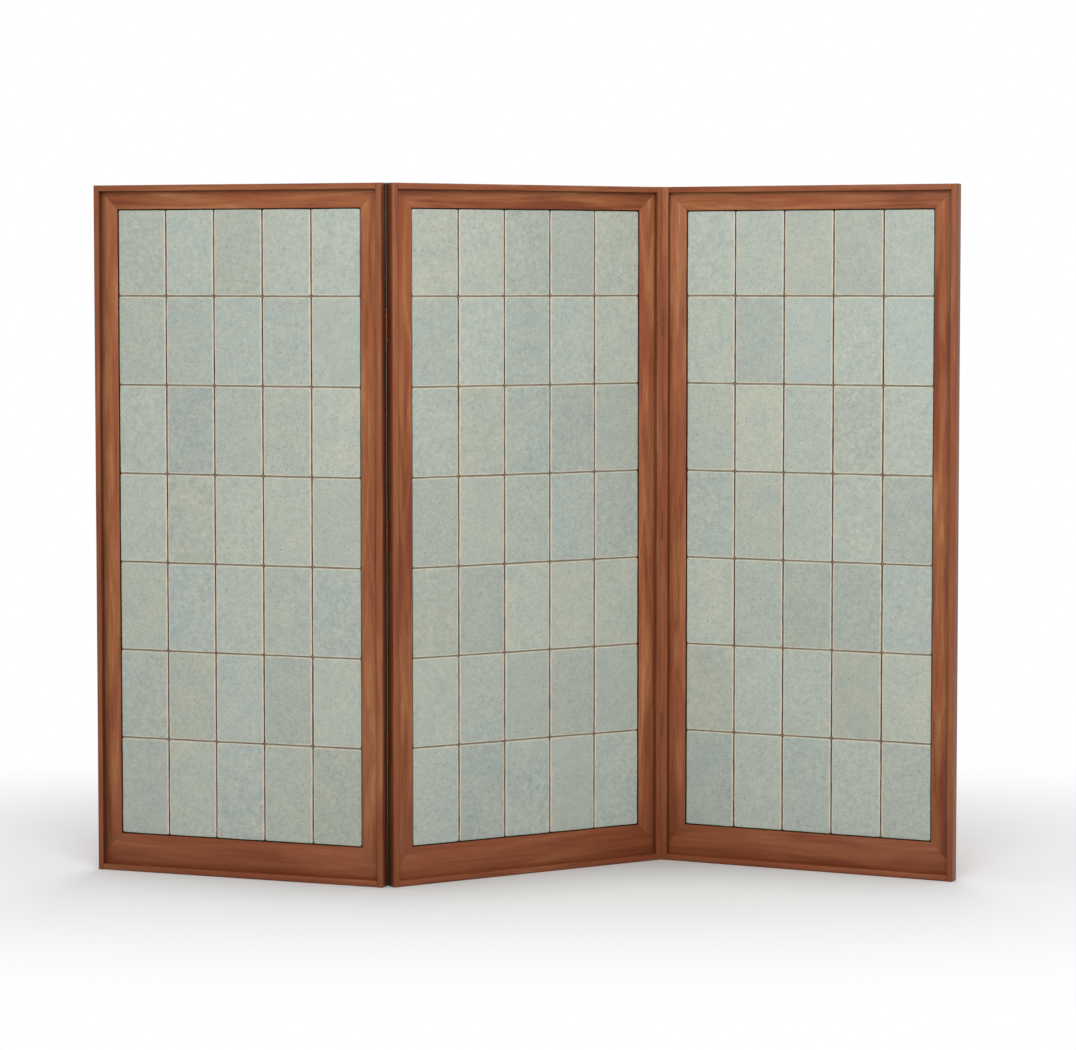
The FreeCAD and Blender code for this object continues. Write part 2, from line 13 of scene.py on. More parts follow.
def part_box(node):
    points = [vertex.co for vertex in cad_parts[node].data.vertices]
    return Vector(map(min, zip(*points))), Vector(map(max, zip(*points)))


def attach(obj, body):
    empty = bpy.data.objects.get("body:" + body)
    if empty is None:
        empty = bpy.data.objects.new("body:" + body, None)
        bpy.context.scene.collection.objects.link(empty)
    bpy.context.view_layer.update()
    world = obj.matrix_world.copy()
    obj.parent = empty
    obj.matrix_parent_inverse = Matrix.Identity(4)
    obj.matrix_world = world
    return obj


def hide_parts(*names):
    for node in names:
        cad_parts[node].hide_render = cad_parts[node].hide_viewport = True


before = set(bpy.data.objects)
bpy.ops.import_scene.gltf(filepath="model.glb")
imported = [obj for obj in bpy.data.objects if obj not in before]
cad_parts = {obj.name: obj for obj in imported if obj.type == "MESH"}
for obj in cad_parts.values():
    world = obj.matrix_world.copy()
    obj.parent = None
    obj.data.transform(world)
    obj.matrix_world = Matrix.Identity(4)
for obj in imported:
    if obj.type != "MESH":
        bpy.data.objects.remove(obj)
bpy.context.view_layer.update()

bl_info = {
    "name": "Tiled folding screen",
    "version": (1, 0, 0),
    "blender": (4, 5, 0),
    "location": "View3D > Sidebar > Screen",
    "description": "Models and finishes the tiled panels of a folding screen around its packed frame",
    "category": "Object",
}

PANEL_NAMES = ("left", "middle", "right")
# The board of the face frame on each side of a panel
BOARDS = {"left": "left_stile", "right": "right_stile", "top": "top_rail", "bottom": "bottom_rail"}
X, Y, Z = 0, 1, 2
INWARD = {"left": Vector((1, 0, 0)), "right": Vector((-1, 0, 0)),
          "top": Vector((0, 0, -1)), "bottom": Vector((0, 0, 1))}
FRONT = Vector((0, -1, 0))
# How much of each painted shade a panel's sides take, and what is left of it on hinged sides
LIP_SHARES = {"left": 1.0, "right": 1.0, "top": 1.0, "bottom": 0.2}
FIELD_SHARES = {"left": 1.0, "right": 0.95, "top": 0.65, "bottom": 0.35}
CREASE_SHARES = {"left": 1.0, "right": 1.0, "top": 0.35, "bottom": 0.0}
HINGED_LIP = 0.78
HINGED_CREASE = 0.1
# How much of the painted shade reaches the front of lips, hinged edges and edges beside the tiles; it is
# full at the back, as shade in a recess
LIP_FRONT = 0.7
JOINT_FRONT = 0.1
FIELD_FRONT = 0.6
# How bare the clay is on a tile's upright and level edges
RIM_UPRIGHT = 1.0
RIM_LEVEL = 0.8
# Cosines above which a face looks in a direction and an edge runs along an axis
FACING = 0.6
ALIGNED = 0.99
# Distances in metres within which points are one, or lie at one level
MERGE = 1e-5
NEAR = 1e-4
# Angles above which an edge is eased, or stays sharp in smooth shading
SHARP = math.radians(40)
SMOOTH = math.radians(35)
ROUND_STEPS = 5
EASE_STEPS = 3
# Seed of the noise in the tiles' edges, which would differ each run without one
NOISE_SEED = 1
# Sizes in metres of the log and the glaze in which boards and tiles have random places
LOG = 30
GLAZE = 90
# How often a tile's edge wanders, per metre
WANDER = 16
# Shares of a screw's shank and of a brad's radius, and the narrowing over each
SHANK_STEPS = ((0.7, 0.9), (0.3, 0.15))
BRAD_STEPS = ((0.22, 0.86), (0.12, 0.6), (0.05, 0.4))
# Rounding of a screw's head, as a share of its radius
HEAD_ROUND = 1 / 14
SCREW_SIDES = 20
BRAD_SIDES = 12
FLOOR_SIDES = 64
# Height in metres below which the wood is darker, and how much darker it is at the foot
FOOT_HEIGHT = 0.4
FOOT_DEPTH = 0.55
# Cells per metre of fine and coarse specks, their radius in a cell and their share of the cells
SPECKS = ((240, 0.26, 0.62), (95, 0.22, 0.66))
# Distances in metres from a joint's middle over which the grout's painted light at crossings and in
# level joints fades
CROSSING = (0.006, 0.002)
LEVEL_JOINT = (0.004, 0.0025)
# The shaded floor's middle lies behind the screen's, and it is wider than deep
FLOOR_OFFSET = (0.0, -0.25, 0.0)
FLOOR_STRETCH = (0.62, 1.0, 1.0)
CONTACT_SAMPLES = 16
WHITE = (1.0, 1.0, 1.0, 1.0)
BLACK = (0.0, 0.0, 0.0)
KINDS = {"VERT": "verts", "EDGE": "edges", "FACE": "faces"}


def linear(red, green, blue):
    """A colour given as 0 to 255 on a screen, in linear light."""
    shares = [level / 255 for level in (red, green, blue)]
    return [share / 12.92 if share <= 0.04045 else ((share + 0.055) / 1.055) ** 2.4 for share in shares]


def colour(name, description, *levels):
    """A colour that a user can change."""
    return FloatVectorProperty(name=name, description=description, default=linear(*levels), size=3,
                               min=0, max=1, subtype="COLOR")


def length(name, description, default):
    """A length that a user can change, in metres."""
    return FloatProperty(name=name, description=description, default=default, min=0, precision=4,
                         subtype="DISTANCE", unit="LENGTH")


def fraction(name, description, default):
    """A share of 0 to 1 that a user can change."""
    return FloatProperty(name=name, description=description, default=default, min=0, max=1)


def amount(name, description, default, unit="NONE"):
    """A number that a user can change."""
    return FloatProperty(name=name, description=description, default=default, min=0, unit=unit)


def place(name, description, default):
    """A point that a user can change, in metres."""
    return FloatVectorProperty(name=name, description=description, default=default, size=3,
                               subtype="TRANSLATION", unit="LENGTH")


class WoodSettings(bpy.types.PropertyGroup):
    """Edges and colours of the wooden frames and their backing boards."""

    lip_round: length("Lip round", "Radius of the raised lips' front edges", 0.0042)
    inner_round: length("Inner round", "Radius of the frame's edge beside the tiles", 0.0016)
    arris: length("Arris", "Easing of every other wooden edge", 0.0005)
    mortise_play: length("Mortise play", "Room round a hinge leaf in its mortise", 0.0002)
    dark: colour("Dark streaks", "Late wood between the streaks", 118, 58, 29)
    middle: colour("Ground", "Ground colour of the oiled wood", 159, 95, 56)
    light: colour("Light streaks", "Pale streaks in the oiled wood", 192, 134, 87)
    red: colour("Red streaks", "Reddish streaks in the oiled wood", 148, 72, 41)
    # Painted shade: the dark colour painted into hinge grooves, lips' inner corners and beside lips and
    # tiles
    stain: colour("Stain", "Dark stain in the joints and corners", 50, 25, 12)
    # Painted shade in the hinge grooves, on the edges that meet the next panel
    joint_stain: fraction("Joint stain", "How dark the edges are that meet at a hinge", 0.97)
    # Painted shade in the lips' inner corners
    corner_stain: fraction("Corner stain", "How dark the lips are on their inner sides", 0.78)
    # Painted shade on the flat frame beside the lips, fading out over the crease width
    crease_stain: fraction("Crease stain", "How dark the flat frame is beside the lips", 0.55)
    crease_width: length("Crease width", "How far the flat frame is darker beside the lips", 0.02)
    # Painted shade on the flat frame's edges beside the tiles, where the shadow gap falls
    field_stain: fraction("Field stain", "How dark the flat frame's edges are beside the tiles", 0.78)
    pin_reach: length("Pin reach", "How far lips are drawn out to the front pins", 0.000045)
    lip_depth: fraction("Lip depth", "How much darker the lips are than the flat frame", 0.4)
    board_dark: colour("Board streaks", "Dark streaks of the backing board", 139, 96, 61)
    board_light: colour("Board ground", "Ground colour of the backing board", 178, 134, 92)
    brad_spacing: length("Brad spacing", "Distance between the brads of a board", 0.2)
    brad_inset: length("Brad inset", "Distance of the brads from the board's edge", 0.007)
    brad_radius: length("Brad radius", "Radius of a brad's head", 0.0014)


class TileSettings(bpy.types.PropertyGroup):
    """Shape and colours of the tiles and of the grout between them."""

    rim_width: length("Rim width", "Width of the pale rim where the glaze breaks", 0.0032)
    ease: length("Ease", "Radius of a tile's front edge", 0.001)
    corner: length("Corner", "Radius of a tile's corners", 0.004)
    waviness: length("Waviness", "How far a hand-cut edge wanders", 0.0006)
    crown: length("Crown", "How far a tile's face swells in its middle", 0.0005)
    lippage: length("Lippage", "How far a tile stands out or in", 0.0003)
    cells_across: IntProperty(name="Cells across", description="Mesh cells across a tile",
                              default=6, min=2)
    cells_up: IntProperty(name="Cells up", description="Mesh cells up a tile", default=10, min=2)
    blue: colour("Blue glaze", "Coldest glaze", 170, 182, 177)
    green: colour("Green glaze", "Commonest glaze", 176, 183, 172)
    sand: colour("Sand glaze", "Warmest glaze", 182, 185, 167)
    rim: colour("Rim", "Pale clay that shows at a tile's edge", 211, 203, 183)
    speck: colour("Specks", "Iron specks in the glaze", 112, 116, 104)
    grout_dark: colour("Dark grout", "Stained grout", 64, 45, 29)
    grout_light: colour("Light grout", "Ground colour of the grout", 117, 95, 71)
    # Painted light: paler grout in level joints stands in for less shade there
    grout_pale: colour("Pale grout", "Grout in the level joints, filled higher", 160, 152, 132)
    # Painted light: lighter, warmer grout where joints cross, as no tile shades it there
    grout_warm: colour("Warm grout", "Grout where two joints cross", 126, 100, 76)


class MetalSettings(bpy.types.PropertyGroup):
    """Finish of the hinges, their screws and the brads."""

    dark: colour("Dark bronze", "Patina of the hinges", 118, 72, 46)
    bright: colour("Worn bronze", "Bare metal where the patina is worn", 150, 98, 66)
    slot_width: length("Slot width", "Width of a screw's slot", 0.0009)
    slot_depth: length("Slot depth", "Depth of a screw's slot", 0.0007)


class StudioSettings(bpy.types.PropertyGroup):
    """Camera, floor and light."""

    camera: place("Camera", "Where the camera stands", (0.036, -8.1367, 1.4765))
    tilt: FloatProperty(name="Tilt", description="How far the camera looks down",
                        default=math.radians(3.372), subtype="ANGLE", unit="ROTATION")
    lens: amount("Lens", "Focal length on a 36 mm sensor, in millimetres", 110.7)
    shift: FloatProperty(name="Shift", description="Vertical lens shift", default=-0.05)
    floor: colour("Floor", "Colour of the floor", 250, 250, 250)
    floor_radius: length("Floor radius", "Size of the floor", 14)
    # Painted contact shade: ambient occlusion darkens the floor round the screen's foot
    contact_reach: length("Contact reach", "How far the floor is darker round the foot", 0.4)
    contact_shade: fraction("Contact shade", "How dark the floor is round the foot", 0.5)
    fade_start: length("Fade start", "Where the floor begins to turn white", 0.25)
    fade_end: length("Fade end", "Where the floor has turned white", 1.95)
    ambient: amount("Ambient", "Level of the light from all round", 0.42)
    key: place("Key light", "Where the key light hangs", (0.1, -3.6, 3.3))
    key_power: amount("Key power", "Power of the key light", 121, "POWER")
    key_size: length("Key size", "Width of the key light", 2.6)
    back: place("Back light", "Where the light behind the screen hangs", (0.4, 3.4, 2.8))
    back_power: amount("Back power", "Power of the back light", 55, "POWER")
    back_size: length("Back size", "Width of the back light", 2.4)
    aim: place("Aim", "Point that the lamps are turned to", (0, 0, 0.85))


SETTINGS = {"screen_wood": WoodSettings, "screen_tiles": TileSettings,
            "screen_metal": MetalSettings, "screen_studio": StudioSettings}


# The panels' own frames

def corners(points):
    """Lowest and highest corner of some points."""
    low = Vector([min(point[axis] for point in points) for axis in (X, Y, Z)])
    high = Vector([max(point[axis] for point in points) for axis in (X, Y, Z)])
    return low, high


def side_levels(low, high):
    """Levels of a box's four sides, seen from the front."""
    return {"left": low.x, "right": high.x, "top": high.z, "bottom": low.z}


class Panel:
    """One panel in its own frame: x along its width from its middle, y from front to back, z up."""

    def __init__(self, name):
        self.body = f"{name}_panel"
        column = self.node("tile_column")
        self.columns = sorted(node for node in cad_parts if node.startswith(column))
        first, last = (sum(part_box(node), Vector()) / 2 for node in (self.columns[0], self.columns[-1]))
        run = last - first
        middle = (first + last) / 2
        self.turn = math.atan2(run.y, run.x)
        self.foot = Vector((middle.x, middle.y, 0))
        self.matrix = Matrix.Translation(self.foot) @ Matrix.Rotation(self.turn, 4, "Z")

    def node(self, piece):
        """The name of one of the panel's CAD nodes."""
        return f"{self.body}_{piece}"

    def box(self, node):
        """Lowest and highest corner of a CAD node in the panel's frame."""
        inverse = self.matrix.inverted()
        return corners([inverse @ vertex.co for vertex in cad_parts[node].data.vertices])

    def solids(self, node):
        """Lowest and highest corner of each solid of a CAD node, in the panel's frame, bottom first."""
        shape = bmesh.new()
        shape.from_mesh(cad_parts[node].data)
        shape.transform(self.matrix.inverted())
        bmesh.ops.remove_doubles(shape, verts=shape.verts[:], dist=MERGE)
        unseen = set(shape.verts)
        boxes = []
        while unseen:
            island = [unseen.pop()]
            for vertex in island:
                fresh = {edge.other_vert(vertex) for edge in vertex.link_edges} & unseen
                unseen -= fresh
                island.extend(fresh)
            boxes.append(corners([vertex.co for vertex in island]))
        shape.free()
        return sorted(boxes, key=lambda box: [round(box[0][axis], 4) for axis in (Z, Y, X)])


PANELS = [Panel(name) for name in PANEL_NAMES]
LEFT, MIDDLE, RIGHT = PANELS
# Which hinge leaves are let into which edge strip
LEAVES = {
    LEFT.node("right_edge"): (LEFT, "back_hinge_left_leaves"),
    MIDDLE.node("left_edge"): (MIDDLE, "back_hinge_middle_leaves"),
    MIDDLE.node("right_edge"): (MIDDLE, "front_hinge_middle_leaves"),
    RIGHT.node("left_edge"): (RIGHT, "front_hinge_right_leaves"),
}
FRONT_HINGED = [strip for strip, (panel, leaves) in LEAVES.items() if leaves.startswith("front")]


# Modelling by hand

def deselect():
    """Leaves nothing selected."""
    bpy.ops.object.select_all(action="DESELECT")


def take(piece):
    """Makes a piece the only one selected, and the active one."""
    deselect()
    piece.select_set(True)
    bpy.context.view_layer.objects.active = piece


@contextmanager
def editing(piece):
    """Edit mode on one piece."""
    take(piece)
    bpy.ops.object.mode_set(mode="EDIT")
    yield
    bpy.ops.object.mode_set(mode="OBJECT")


def pick(piece, kind, wanted):
    """Selects the vertices, edges or faces of the piece being edited for which wanted() holds."""
    bpy.ops.mesh.select_mode(type=kind)
    bpy.ops.mesh.select_all(action="DESELECT")
    shape = bmesh.from_edit_mesh(piece.data)
    for element in getattr(shape, KINDS[kind]):
        if wanted(element):
            element.select_set(True)
    bmesh.update_edit_mesh(piece.data)


def runs(edge, axis):
    """Whether an edge lies along an axis."""
    span = edge.verts[1].co - edge.verts[0].co
    return abs(span[axis]) > ALIGNED * span.length


def lies(edge, axis, level):
    """Whether both ends of an edge lie at a level of an axis."""
    return all(abs(vertex.co[axis] - level) < NEAR for vertex in edge.verts)


def sharp(edge):
    """Whether an edge is an outer corner."""
    return edge.is_manifold and edge.is_convex and edge.calc_face_angle() > SHARP


def ease(piece, offset, wanted=sharp, steps=2):
    """Rounds the edges of the piece being edited for which wanted() holds."""
    pick(piece, "EDGE", wanted)
    bpy.ops.mesh.bevel(offset=offset, segments=steps)


def close_up():
    """Turns all faces of the piece being edited outwards."""
    bpy.ops.mesh.select_all(action="SELECT")
    bpy.ops.mesh.normals_make_consistent()


def extrude(way):
    """Draws what is selected in the piece being edited out by a way."""
    bpy.ops.mesh.extrude_region_move(TRANSFORM_OT_translate={"value": way})


def disc(radius, sides, turn=(0, 0, 0)):
    """A filled circle round the origin."""
    deselect()
    bpy.ops.mesh.primitive_circle_add(vertices=sides, radius=radius, fill_type="NGON", rotation=turn)
    bpy.ops.object.transform_apply()
    return bpy.context.object


def draw_out(piece, axis, steps):
    """Draws a disc out along an axis; each step has its run and how much narrower it ends."""
    with editing(piece):
        bpy.ops.mesh.select_all(action="SELECT")
        for run, narrow in steps:
            way = Vector((0, 0, 0))
            way[axis] = run
            extrude(way)
            scale = Vector((narrow, narrow, narrow))
            scale[axis] = 1
            bpy.ops.transform.resize(value=scale, center_override=(0, 0, 0))
        close_up()


def block(name, low, high):
    """A sawn block from one corner to the other."""
    deselect()
    bpy.ops.mesh.primitive_cube_add(size=1, location=(low + high) / 2)
    piece = bpy.context.object
    piece.name = name
    piece.scale = high - low
    bpy.ops.object.transform_apply()
    return piece


def cut_away(piece, cutters):
    """Cuts the cutters' shapes out of a piece and removes them."""
    for cutter in cutters:
        take(piece)
        modifier = piece.modifiers.new("cut", "BOOLEAN")
        modifier.operation = "DIFFERENCE"
        modifier.solver = "EXACT"
        modifier.object = cutter
        bpy.ops.object.modifier_apply(modifier=modifier.name)
        bpy.data.objects.remove(cutter)


def smooth(piece):
    """Shades a piece smoothly, except across its sharp edges."""
    take(piece)
    bpy.ops.object.shade_smooth_by_angle(angle=SMOOTH)


def twin(piece, name):
    """A copy of a piece with a mesh of its own."""
    made = piece.copy()
    made.data = piece.data.copy()
    made.name = name
    bpy.context.scene.collection.objects.link(made)
    return made


def join(name, pieces):
    """Makes several pieces one."""
    take(pieces[0])
    for piece in pieces[1:]:
        piece.select_set(True)
    bpy.ops.object.join()
    pieces[0].name = name
    return pieces[0]


def hand_over(piece, panel, finish, slot, *nodes):
    """Places a piece made in its panel's frame, finishes it, hangs it on its body and hides nodes."""
    piece.data.transform(panel.matrix)
    piece.data.materials.clear()
    piece.data.materials.append(finish)
    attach(piece, panel.body)
    if nodes:
        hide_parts(*nodes)


def lay_grain(piece, along, seed):
    """Stores each vertex's place along, across and through its board, from a random point."""
    chance = random.Random(seed)
    start = Vector([chance.uniform(0, LOG) for axis in (X, Y, Z)])
    across = X if along == Z else Z
    grain = piece.data.attributes.new("grain", "FLOAT_VECTOR", "POINT")
    for vertex, mark in zip(piece.data.vertices, grain.data):
        mark.vector = start + Vector((vertex.co[along], vertex.co[across], vertex.co[Y]))


def edge_strip(name, low, high, along, inner, pins, wood):
    """A lip with rounded front edges, the outer one more, and a square corner along the hinge pins.

    inner is the level of its edge beside the flat frame, and pins the x and y of that corner or None."""
    across = X if along == Z else Z
    piece = block(name, low, high)

    def at_pins(edge):
        return pins is not None and all(lies(edge, axis, level) for axis, level in zip((X, Y), pins))

    def in_front(edge):
        return runs(edge, along) and lies(edge, Y, low.y) and not at_pins(edge)

    with editing(piece):
        ease(piece, wood.lip_round,
             lambda edge: in_front(edge) and not lies(edge, across, inner), ROUND_STEPS)
        ease(piece, wood.inner_round,
             lambda edge: in_front(edge) and lies(edge, across, inner), EASE_STEPS)
        ease(piece, wood.arris, lambda edge: sharp(edge) and not at_pins(edge))
    return piece


def facing(mesh, way):
    """Number and place of each corner of the faces that look in a direction."""
    for face in mesh.polygons:
        if face.normal.dot(way) > FACING:
            for corner in face.loop_indices:
                yield corner, mesh.vertices[mesh.loops[corner].vertex_index].co


def stain(piece, front, back, painted_shades):
    """Paints shade on the faces that look in some directions, darker from a front to a back level
    as shade in a recess.

    painted_shades holds directions with their shares in front and at the back."""
    marks = piece.data.attributes.new("stain", "FLOAT", "CORNER")
    for way, first, last in painted_shades:
        for corner, spot in facing(piece.data, way):
            depth = (spot.y - front) / (back - front)
            marks.data[corner].value = first + (last - first) * min(depth, 1.0)


def crease(piece, across, edge, width, share):
    """Paints shade on the front of a board along one edge, where a lip stands on it."""
    marks = piece.data.attributes["stain"]
    for corner, spot in facing(piece.data, FRONT):
        marks.data[corner].value = share * max(0.0, 1 - abs(spot[across] - edge) / width)


def mortises(panel, leaves, low, high, wood):
    """Blocks that cut the recesses of hinge leaves and knuckles into an edge strip."""
    made = []
    play = Vector((wood.mortise_play,) * 3)
    for leaf_low, leaf_high in panel.solids(leaves):
        start, end = leaf_low - play, leaf_high + play
        if start.x > (low.x + high.x) / 2:
            end.x = high.x + wood.lip_round
        else:
            start.x = low.x - wood.lip_round
        made.append(block("mortise", start, end))
    return made


def face_board(name, low, high, along, inner, seat, mitres, wood):
    """A board of the face frame: rebated at the back, mitred at its ends and eased beside the tiles.

    inner is the level of its edge beside the tiles, seat the level of the rebate across the board and
    that of its floor, and mitres the points and outward directions of its end cuts."""
    across = X if along == Z else Z
    shoulder, floor = seat
    piece = block(name, low, Vector((high.x, floor, high.z)))
    cut = Vector((0, 0, 0))
    cut[across] = 1
    outer = math.copysign(1, shoulder - inner)
    edge = high[across] if outer > 0 else low[across]
    with editing(piece):
        # Cuts at the rebate's shoulder and where the painted shade beside the lip fades out
        for level in (shoulder, edge - outer * wood.crease_width):
            bpy.ops.mesh.select_all(action="SELECT")
            bpy.ops.mesh.bisect(plane_co=cut * level, plane_no=cut)
        pick(piece, "FACE", lambda face: face.normal.y > FACING
             and outer * (face.calc_center_median()[across] - shoulder) > 0)
        extrude((0, high.y - floor, 0))
        for point, outward in mitres:
            bpy.ops.mesh.select_all(action="SELECT")
            bpy.ops.mesh.bisect(plane_co=point, plane_no=outward, use_fill=True, clear_outer=True)
        close_up()
        ease(piece, wood.inner_round,
             lambda edge: runs(edge, along) and lies(edge, Y, low.y) and lies(edge, across, inner),
             EASE_STEPS)
        ease(piece, wood.arris)
    return piece


def mitre_cuts(side, inner):
    """Points and outward directions of the cuts at the ends of a stile or rail.

    inner holds the levels of the inner edges of all four."""
    cuts = []
    for stile, across in (("left", -1), ("right", 1)):
        for rail, up in (("top", 1), ("bottom", -1)):
            if side in (stile, rail):
                outward = Vector((-across, 0, up)) if side == stile else Vector((across, 0, -up))
                cuts.append((Vector((inner[stile], 0, inner[rail])), outward.normalized()))
    return cuts


def tile_blank(tiles, width, height, depth):
    """One tile, its face in the xz plane: a rim in the face, a rounded edge, sides and a flat back."""
    deselect()
    bpy.ops.mesh.primitive_grid_add(x_subdivisions=tiles.cells_across, y_subdivisions=tiles.cells_up,
                                    size=1, rotation=(math.pi / 2, 0, 0))
    tile = bpy.context.object
    wide = width - 2 * tiles.ease
    high = height - 2 * tiles.ease
    tile.scale = (wide, high, 1)
    bpy.ops.object.transform_apply()
    with editing(tile):
        pick(tile, "VERT", lambda vertex: len(vertex.link_edges) == 2)
        bpy.ops.mesh.bevel(offset=tiles.corner, segments=EASE_STEPS, affect="VERTICES")
        bpy.ops.mesh.select_all(action="SELECT")
        bpy.ops.mesh.inset(thickness=tiles.rim_width)
        pick(tile, "EDGE", lambda edge: edge.is_boundary)
        for step in range(EASE_STEPS):
            now, then = (math.pi / 2 * count / EASE_STEPS for count in (step, step + 1))
            out = 2 * tiles.ease * (math.sin(then) - math.sin(now))
            back = tiles.ease * (math.cos(now) - math.cos(then))
            extrude((0, back, 0))
            bpy.ops.transform.resize(value=((wide + out) / wide, 1, (high + out) / high),
                                     center_override=(0, 0, 0))
            wide += out
            high += out
        extrude((0, depth - tiles.ease, 0))
        bpy.ops.mesh.edge_face_add()
        close_up()
    smooth(tile)
    return tile


def rim_shares(low, high, field):
    """How bare a tile's left, right, lower and upper edges are: not at all beside the frame."""
    shares = []
    for axis, share in ((X, RIM_UPRIGHT), (Z, RIM_LEVEL)):
        for own, limit in ((low, field[0]), (high, field[1])):
            shares.append(0.0 if abs(own[axis] - limit[axis]) < NEAR else share)
    return shares


def lay_tile(blank, size, low, high, field, tiles, seed):
    """A copy of the tile at its place in the field, with its own edges, tilt, tone and glaze."""
    chance = random.Random(seed)
    tile = twin(blank, "tile")
    mesh = tile.data
    middle = (low + high) / 2
    stretch = (high.z - low.z) / size.z
    far = Vector([chance.uniform(0, GLAZE) for axis in (X, Y, Z)])
    tone = Vector([chance.random() for axis in (X, Y, Z)])
    stand, lean_x, lean_z = (chance.uniform(-1, 1) * tiles.lippage for share in range(3))
    shares = rim_shares(low, high, field)
    bare = tiles.ease + tiles.rim_width / 2
    marks = {"glaze_place": "FLOAT_VECTOR", "glaze_tone": "FLOAT_VECTOR", "glaze_rim": "FLOAT"}
    for name, kind in marks.items():
        mesh.attributes.new(name, kind, "POINT")
    glaze, tones, rims = (mesh.attributes[name] for name in marks)
    for index, vertex in enumerate(mesh.vertices):
        across, up = 2 * vertex.co.x / size.x, 2 * vertex.co.z / size.z
        margins = ((1 + across) * size.x / 2, (1 - across) * size.x / 2,
                   (1 + up) * size.z / 2, (1 - up) * size.z / 2)
        front = 1 - min(vertex.co.y / size.y, 1)
        vertex.co.z *= stretch
        glaze.data[index].vector = far + vertex.co
        tones.data[index].vector = tone
        rims.data[index].value = max(share if margin < bare else 0.0
                                     for margin, share in zip(margins, shares))
        wander = noise.noise_vector(far + vertex.co * WANDER) * tiles.waviness
        swell = tiles.crown * (1 - across ** 2) * (1 - up ** 2)
        vertex.co += Vector((wander.x, 0, wander.z)) + Vector((middle.x, low.y, middle.z))
        vertex.co.y -= front * (swell + stand + lean_x * across + lean_z * up + wander.y / 2)
    return tile


def slotted_screw(metal, head, shank, deep):
    """A countersunk screw along +x, its slotted head at the origin."""
    screw = disc(head, SCREW_SIDES, (0, -math.pi / 2, 0))
    neck = head - shank
    steps = [(neck, shank / head)]
    steps += [(part * (deep - neck), narrow) for part, narrow in SHANK_STEPS]
    draw_out(screw, X, steps)
    with editing(screw):
        ease(screw, head * HEAD_ROUND, lambda edge: lies(edge, X, 0))
    half = Vector((metal.slot_depth, 2 * head, metal.slot_width / 2))
    cut_away(screw, [block("slot", -half, half)])
    smooth(screw)
    return screw


def brad_head(radius):
    """A brad's low domed head, facing +y."""
    brad = disc(radius, BRAD_SIDES, (-math.pi / 2, 0, 0))
    draw_out(brad, Y, [(rise * radius, narrow) for rise, narrow in BRAD_STEPS])
    smooth(brad)
    return brad


def brad_places(low, high, wood):
    """Points along the four edges of a board's back, evenly spaced and clear of its corners."""
    inset = Vector((wood.brad_inset, 0, wood.brad_inset))
    near, far = low + inset, high - inset
    places = []
    for along, across in ((X, Z), (Z, X)):
        count = max(2, round((far[along] - near[along]) / wood.brad_spacing))
        for index in range(count):
            for level in (near, far):
                spot = Vector((0, high.y, 0))
                spot[along] = near[along] + (far[along] - near[along]) * (index + 0.5) / count
                spot[across] = level[across]
                places.append(spot)
    return places


# Shading

class Value:
    """A shader output that takes part in sums as a number does; each sum adds a Math node."""

    def __init__(self, shade, socket):
        self.shade = shade
        self.socket = socket

    def math(self, operation, first, second):
        """A Math node's output."""
        return self.shade.node("ShaderNodeMath", {0: first, 1: second}, operation=operation)

    def __add__(self, other):
        return self.math("ADD", self, other)

    def __sub__(self, other):
        return self.math("SUBTRACT", self, other)

    def __rsub__(self, other):
        return self.math("SUBTRACT", other, self)

    def __mul__(self, other):
        return self.math("MULTIPLY", self, other)

    __radd__ = __add__
    __rmul__ = __mul__


class Shade:
    """Adds nodes to a node tree and hands their outputs back as values."""

    def __init__(self, tree):
        self.tree = tree
        tree.nodes.clear()

    def node(self, kind, inputs=None, output=0, **settings):
        """Adds a node, sets it up, sets or links its sockets and returns one of its outputs."""
        made = self.tree.nodes.new(kind)
        for name, setting in settings.items():
            setattr(made, name, setting)
        for name, value in (inputs or {}).items():
            if isinstance(value, Value):
                self.tree.links.new(value.socket, made.inputs[name])
            else:
                made.inputs[name].default_value = value
        return Value(self, made.outputs[output]) if made.outputs else None

    def attribute(self, name, output="Vector"):
        """An attribute of the mesh."""
        return self.node("ShaderNodeAttribute", output=output, attribute_name=name)

    def parts(self, vector):
        """The three numbers of a vector."""
        split = self.node("ShaderNodeSeparateXYZ", {0: vector}).socket.node
        return [Value(self, socket) for socket in split.outputs]

    def noise(self, vector, scales, detail=2.0, rough=0.5, bend=0.0):
        """Noise with a number of features per metre along each axis."""
        scaled = self.node("ShaderNodeVectorMath", {0: vector, 1: scales}, operation="MULTIPLY")
        return self.node("ShaderNodeTexNoise", {"Vector": scaled, "Scale": 1.0, "Detail": detail,
                                                "Roughness": rough, "Distortion": bend})

    def rise(self, value, start, end, low=0.0, high=1.0):
        """A smooth step from low to high while a value goes from start to end."""
        return self.node("ShaderNodeMapRange", {"Value": value, "From Min": start, "From Max": end,
                                                "To Min": low, "To Max": high},
                         interpolation_type="SMOOTHSTEP")

    def mix(self, share, first, second, blend="MIX"):
        """Two colours mixed."""
        tints = [tint if isinstance(tint, Value) else (*tint, 1.0) for tint in (first, second)]
        return self.node("ShaderNodeMix", {0: share, 6: tints[0], 7: tints[1]}, output=2,
                         data_type="RGBA", blend_type=blend)

    def bump(self, height, distance):
        """A normal from a height of 0 to 1 that stands for a distance in metres."""
        return self.node("ShaderNodeBump", {"Distance": distance, "Height": height, "Strength": 1.0})

    def surface(self, **inputs):
        """Ends a material in one principled surface."""
        sockets = {name.replace("_", " "): value for name, value in inputs.items()}
        shader = self.node("ShaderNodeBsdfPrincipled", sockets)
        self.node("ShaderNodeOutputMaterial", {"Surface": shader})


